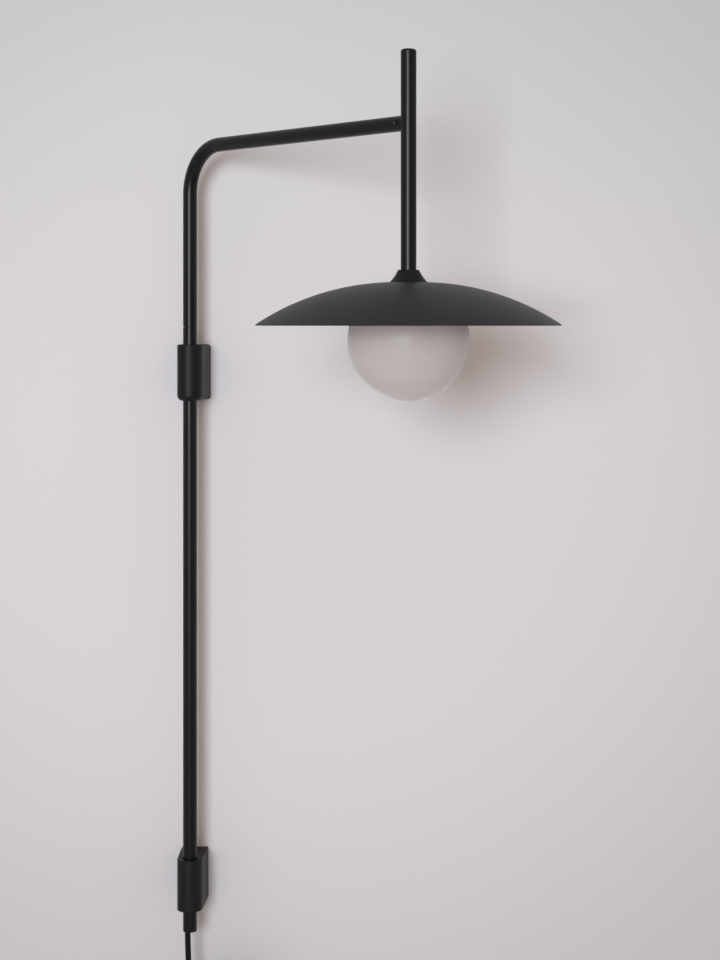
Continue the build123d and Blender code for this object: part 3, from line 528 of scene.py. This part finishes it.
def plug_moulding():
    """Two-pin plug: a ribbed boot, a flared shoulder, and a flat body with grip ridges and a sunk front."""
    low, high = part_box("plug_body")
    middle = (low + high) / 2
    width, depth = high.x - low.x, high.y - low.y
    body_top = high.z - boot_length
    shoulder_foot = body_top - shoulder_length
    build = bmesh.new()
    # Body with round sides
    block = Matrix.LocRotScale(Vector((middle.x, middle.y, (body_top + low.z) / 2)), None,
                               Vector((width, depth, body_top - low.z)))
    bmesh.ops.create_cube(build, size=1, matrix=block)
    uprights = [e for e in build.edges if abs(e.verts[0].co.z - e.verts[1].co.z) > shoulder_length]
    bmesh.ops.bevel(build, geom=uprights, offset=depth * plug_side_share, segments=plug_side_segments,
                    profile=0.5, affect="EDGES", material=-1)
    # Shoulder, cut in levels and drawn in towards the boot
    for step in range(shoulder_steps):
        height = shoulder_foot + shoulder_length * step / shoulder_steps
        everything = build.verts[:] + build.edges[:] + build.faces[:]
        bmesh.ops.bisect_plane(build, geom=everything, plane_co=(0, 0, height), plane_no=(0, 0, 1))
    for vert in build.verts:
        share = max(0.0, (vert.co.z - shoulder_foot) / shoulder_length)
        ease = share * share * (3 - 2 * share)
        vert.co.x = middle.x + (vert.co.x - middle.x) * (1 + ease * (shoulder_top_width / width - 1))
        vert.co.y = middle.y + (vert.co.y - middle.y) * (1 + ease * (shoulder_top_depth / depth - 1))
    # Front with a rounded edge and a sunk face
    build.normal_update()
    bmesh.ops.bevel(build, geom=lowest_face(build).edges[:], offset=plug_front_bevel,
                    segments=plug_front_segments, profile=0.5, affect="EDGES", material=-1)
    build.normal_update()
    front = [lowest_face(build)]
    bmesh.ops.inset_region(build, faces=front, thickness=plug_front_rim, use_even_offset=True)
    sunk = bmesh.ops.extrude_face_region(build, geom=front)["geom"]
    bmesh.ops.delete(build, geom=front, context="FACES_ONLY")
    bmesh.ops.translate(build, verts=[g for g in sunk if isinstance(g, bmesh.types.BMVert)],
                        vec=(0, 0, plug_front_sink))
    # Grip ridges on both broad sides
    for side in (-1, 1):
        for ridge in range(grip_ridges):
            height = shoulder_foot - grip_ridge_pitch * (ridge + 0.5)
            centre = Vector((middle.x, middle.y + side * depth / 2, height))
            bar = Matrix.LocRotScale(centre, None, grip_ridge_size)
            made = bmesh.ops.create_cube(build, size=1, matrix=bar)["verts"]
            edges = list({e for v in made for e in v.link_edges})
            bmesh.ops.bevel(build, geom=edges, offset=grip_ridge_bevel, segments=grip_ridge_segments,
                            profile=0.5, affect="EDGES", material=-1)
    # Boot with ribs, turned about the cord
    outline = [(0, high.z), (boot_tip_radius, high.z)]
    for rib in range(boot_ribs):
        top = high.z - boot_rib_pitch * (rib + boot_rib_start)
        share = (rib + 0.5) / boot_ribs  # at the rib's middle
        waist = boot_tip_radius + (boot_foot_radius - boot_tip_radius) * share
        crest = waist + boot_rib_height
        outline += [(waist, top), (crest, top - boot_rib_slope),
                    (crest, top - boot_rib_width + boot_rib_slope), (waist, top - boot_rib_width)]
    boot_foot = body_top - boot_root
    outline += [(boot_foot_radius, body_top), (boot_foot_radius, boot_foot), (0, boot_foot)]
    verts = [build.verts.new((middle.x + radius, middle.y, height)) for radius, height in outline]
    edges = [build.edges.new(pair) for pair in zip(verts, verts[1:])]
    bmesh.ops.spin(build, geom=verts + edges, cent=(middle.x, middle.y, 0), axis=(0, 0, 1),
                   angle=2 * math.pi, steps=boot_sides, use_merge=True)
    bmesh.ops.remove_doubles(build, verts=build.verts, dist=merge_distance)
    bmesh.ops.recalc_face_normals(build, faces=build.faces)
    return finished_piece("plug_moulding", build, finishes["moulded_black_plastic"])


# Bulb
capsule_wall = 0.9 * MM
capsule_sides = 40
capsule_levels = 20
capsule_neck = 3.0 * MM  # how much of its upper dome is pressed flat against the base
filament_wire_radius = 0.22 * MM
filament_wire_sides = 6
filament_radius = 1.2 * MM
filament_turns = 9.5
filament_turn_points = 16
filament_ease = 0.12  # share of the coil in which it opens out to its leads
filament_foot = 8.0 * MM  # from the capsule's tip
filament_head = 8.0 * MM  # from the capsule's top
lead_spread = 3.0 * MM


def bulb_glass():
    """Capsule of the bulb: a thin quartz tube with a round end, pressed flat where it meets the base."""
    low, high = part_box("bulb_capsule")
    radius = (high.x - low.x) / 2
    centre = Vector(((low.x + high.x) / 2, (low.y + high.y) / 2, low.z + radius))
    build = bmesh.new()
    bmesh.ops.create_uvsphere(build, u_segments=capsule_sides, v_segments=capsule_levels, radius=radius,
                              matrix=Matrix.Translation(centre))
    straight = high.z - low.z - 2 * radius
    for vert in build.verts:
        if vert.co.z > centre.z + capsule_wall / 2:
            vert.co.z = min(vert.co.z + straight + capsule_neck, high.z)
    bmesh.ops.solidify(build, geom=build.faces[:], thickness=capsule_wall)
    return finished_piece("bulb_glass", build, finishes["clear_glass"])


def bulb_filament():
    """Filament of the bulb: an upright coil of fine bright wire between two straight leads."""
    low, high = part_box("bulb_capsule")
    middle = (low + high) / 2
    across = (stem_axis - pole_axis).normalized()
    beside = across.cross(Vector((0, 0, 1)))
    foot, head = low.z + filament_foot, high.z - filament_head
    wire = [Vector((middle.x, middle.y, high.z)) + across * lead_spread]
    steps = round(filament_turns * filament_turn_points)
    for step in range(steps + 1):
        share = step / steps
        turn = 2 * math.pi * step / filament_turn_points
        opening = max(0.0, 1 - min(share, 1 - share) / filament_ease)
        radius = filament_radius + (lead_spread - filament_radius) * opening
        reach = across * math.cos(turn) + beside * math.sin(turn)
        wire.append(Vector((middle.x, middle.y, foot + (head - foot) * share)) + reach * radius)
    wire.append(Vector((middle.x, middle.y, high.z)) - across * lead_spread)
    made = swept_tube("bulb_filament", wire, filament_wire_radius, filament_wire_sides)
    made.data.materials.append(finishes["zinc_plated_steel"])
    return made


# New pieces, each on its body, with its slot and the nodes that it stands for
line = cord_line()
cord = swept_tube("mains_cord", line, cord_diameter / 2 * MM, cord_sides)
cord.data.materials.append(finishes["textile_cord"])
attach(cord, "wall_mount")
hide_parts("cord_lead", "cord_coil", "cord_tail")
strap = cord_strap()
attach(strap, "wall_mount")
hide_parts("cord_tie")
plug = plug_moulding()
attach(plug, "wall_mount")
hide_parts("plug_body")
capsule = bulb_glass()
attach(capsule, "bulb")
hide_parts("bulb_capsule")
filament = bulb_filament()
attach(filament, "bulb")

# Stage: a pale wall and floor, which stop only the rays that meet them from the front
# The wall's paint holds painted light: it darkens away from a centre beside the pole as a painted falloff
# of the light, and turns cooler towards the top as a painted change in the light's tint.
wall_colour = "#d8d3d5"
wall_painted_falloff_colour = "#c3c1c2"
wall_painted_top_tint = "#fafffe"
wall_painted_light_centre = (0.134, 0.0, -0.096)
wall_painted_falloff_start = 0.27  # from the centre of the painted light
wall_painted_falloff_end = 0.8
wall_painted_tint_start = -0.4  # in height
wall_painted_tint_end = 0.6
wall_top = 4.0
wall_gap = 0.2 * MM
wall_touch = 2.0 * MM  # rays that start this close to the wall pass it, so that the object's back is lit
floor_colour = "#d6dadd"
floor_bounce_colour = "#c3c2c3"  # for the light that it throws back
floor_height = -2.2
floor_front = -12.0
stage_half = 6.0


def seen_ray(tree):
    """One for rays that show a background to the eye, metal or glass, and zero for those that light."""
    rays = add(tree, "ShaderNodeLightPath").outputs
    indirect = add(tree, "ShaderNodeMath", {0: rays["Is Glossy Ray"],
                                            1: rays["Is Transmission Ray"]}).outputs[0]
    return add(tree, "ShaderNodeMath", {0: rays["Is Camera Ray"], 1: indirect}).outputs[0]


def stage_paint(name):
    """Matte paint that can be looked through from behind."""
    made, tree, shader = new_material(name, Roughness=0.9, Specular_IOR_Level=0.1)
    behind = add(tree, "ShaderNodeNewGeometry").outputs["Backfacing"]
    travel = add(tree, "ShaderNodeLightPath").outputs["Ray Length"]
    near = add(tree, "ShaderNodeMath", {0: travel, 1: wall_touch}, operation="LESS_THAN").outputs[0]
    unseen = add(tree, "ShaderNodeMath", {0: behind, 1: near}, operation="MAXIMUM").outputs[0]
    clear = add(tree, "ShaderNodeBsdfTransparent").outputs[0]
    choice = add(tree, "ShaderNodeMixShader", {0: unseen, 1: shader.outputs[0], 2: clear})
    tree.links.new(choice.outputs[0], tree.nodes["Material Output"].inputs["Surface"])
    return made, tree, shader


def floor_paint():
    """Pale floor, a little darker in the light that it throws back than to the eye."""
    made, tree, shader = stage_paint("floor_paint")
    tone = add(tree, "ShaderNodeMix", {"Factor": seen_ray(tree), "A": srgb(floor_bounce_colour),
                                       "B": srgb(floor_colour)}, data_type="RGBA")
    tree.links.new(tone.outputs["Result"], shader.inputs["Base Color"])
    return made


def wall_paint():
    """Pale wall with painted light: palest beside the pole, darker away from there as a painted falloff,
    and slightly cooler towards its top.
    """
    made, tree, shader = stage_paint("wall_paint")
    place = add(tree, "ShaderNodeTexCoord").outputs["Object"]
    reach = add(tree, "ShaderNodeVectorMath", {0: place, 1: wall_painted_light_centre},
                operation="DISTANCE").outputs["Value"]
    # Painted falloff of the light, away from its centre
    painted_fade = add(tree, "ShaderNodeMapRange", {"Value": reach, "From Min": wall_painted_falloff_start,
                                            "From Max": wall_painted_falloff_end}, interpolation_type="SMOOTHSTEP")
    tone = add(tree, "ShaderNodeMix", {"Factor": painted_fade.outputs["Result"], "A": srgb(wall_colour),
                                       "B": srgb(wall_painted_falloff_colour)}, data_type="RGBA")
    # Painted cooler tint of the light towards the top
    height = add(tree, "ShaderNodeSeparateXYZ", {"Vector": place}).outputs["Z"]
    rise = add(tree, "ShaderNodeMapRange", {"Value": height, "From Min": wall_painted_tint_start,
                                            "From Max": wall_painted_tint_end}, interpolation_type="SMOOTHSTEP")
    painted_tint = add(tree, "ShaderNodeMix", {"Factor": rise.outputs["Result"], "A": tone.outputs["Result"],
                                       "B": srgb(wall_painted_top_tint)}, data_type="RGBA", blend_type="MULTIPLY")
    tree.links.new(painted_tint.outputs["Result"], shader.inputs["Base Color"])
    return made


def backdrop(name, paint, corners):
    """A flat sheet of the stage."""
    mesh = bpy.data.meshes.new(name)
    build = bmesh.new()
    build.faces.new([build.verts.new(c) for c in corners])
    build.to_mesh(mesh)
    build.free()
    mesh.materials.append(paint)
    scene_object(name, mesh)


backdrop("stage_wall", wall_paint(), [(-stage_half, wall_gap, floor_height),
                                      (stage_half, wall_gap, floor_height),
                                      (stage_half, wall_gap, wall_top),
                                      (-stage_half, wall_gap, wall_top)])
backdrop("stage_floor", floor_paint(), [(-stage_half, floor_front, floor_height),
                                        (stage_half, floor_front, floor_height),
                                        (stage_half, stage_half, floor_height),
                                        (-stage_half, stage_half, floor_height)])

# Light: a far window-sized source at the left, in a room whose pale walls fill the shadows with warm light
room_colour = "#f2efed"  # as the eye, metal and glass see the room
room_fill_colour = "#ffeddf"
room_level_behind = 0.465  # behind the camera
room_level_beside = 0.8
key_place = Vector((-0.5, -4.0, 0.36))
key_target = Vector((0.15, 0.0, 0.0))
key_width = 1.3
key_height = 1.4
key_power = 106
key_colour = "#ebf5ff"

world = bpy.data.worlds.new("room_light")
bpy.context.scene.world = world
world.use_nodes = True
room = world.node_tree
room_shader = room.nodes["Background"]
room_tone = add(room, "ShaderNodeMix", {"Factor": seen_ray(room), "A": srgb(room_fill_colour),
                                        "B": srgb(room_colour)}, data_type="RGBA")
room.links.new(room_tone.outputs["Result"], room_shader.inputs["Color"])
room_heading = add(room, "ShaderNodeTexCoord").outputs["Generated"]
room_depth = add(room, "ShaderNodeSeparateXYZ", {"Vector": room_heading}).outputs["Y"]
room_level = add(room, "ShaderNodeMapRange", {"Value": room_depth, "From Min": -1.0, "From Max": 0.0,
                                              "To Min": room_level_behind, "To Max": room_level_beside})
room.links.new(room_level.outputs["Result"], room_shader.inputs["Strength"])

key_data = bpy.data.lights.new("key_light", "AREA")
key_data.shape = "ELLIPSE"
key_data.size = key_width
key_data.size_y = key_height
key_data.energy = key_power
key_data.color = srgb(key_colour)[:3]
key_light = scene_object("key_light", key_data)
key_light.location = key_place
key_light.rotation_euler = (key_target - key_place).to_track_quat("-Z", "Y").to_euler()
key_light.visible_camera = False

# Camera: square to the wall, with the picture shifted down and to the left as the photograph is
camera_place = Vector((263.6, -2021.0, 54.0)) * MM
camera_sensor = 36.0
camera_lens = 66.06
camera_shift = (-0.0677, -0.162)

camera_data = bpy.data.cameras.new("camera")
camera_data.sensor_width = camera_sensor
camera_data.lens = camera_lens
camera_data.shift_x, camera_data.shift_y = camera_shift
camera = scene_object("camera", camera_data)
camera.location = camera_place
camera.rotation_euler = (math.pi / 2, 0, 0)
bpy.context.scene.camera = camera

bpy.context.scene.view_settings.view_transform = "Standard"
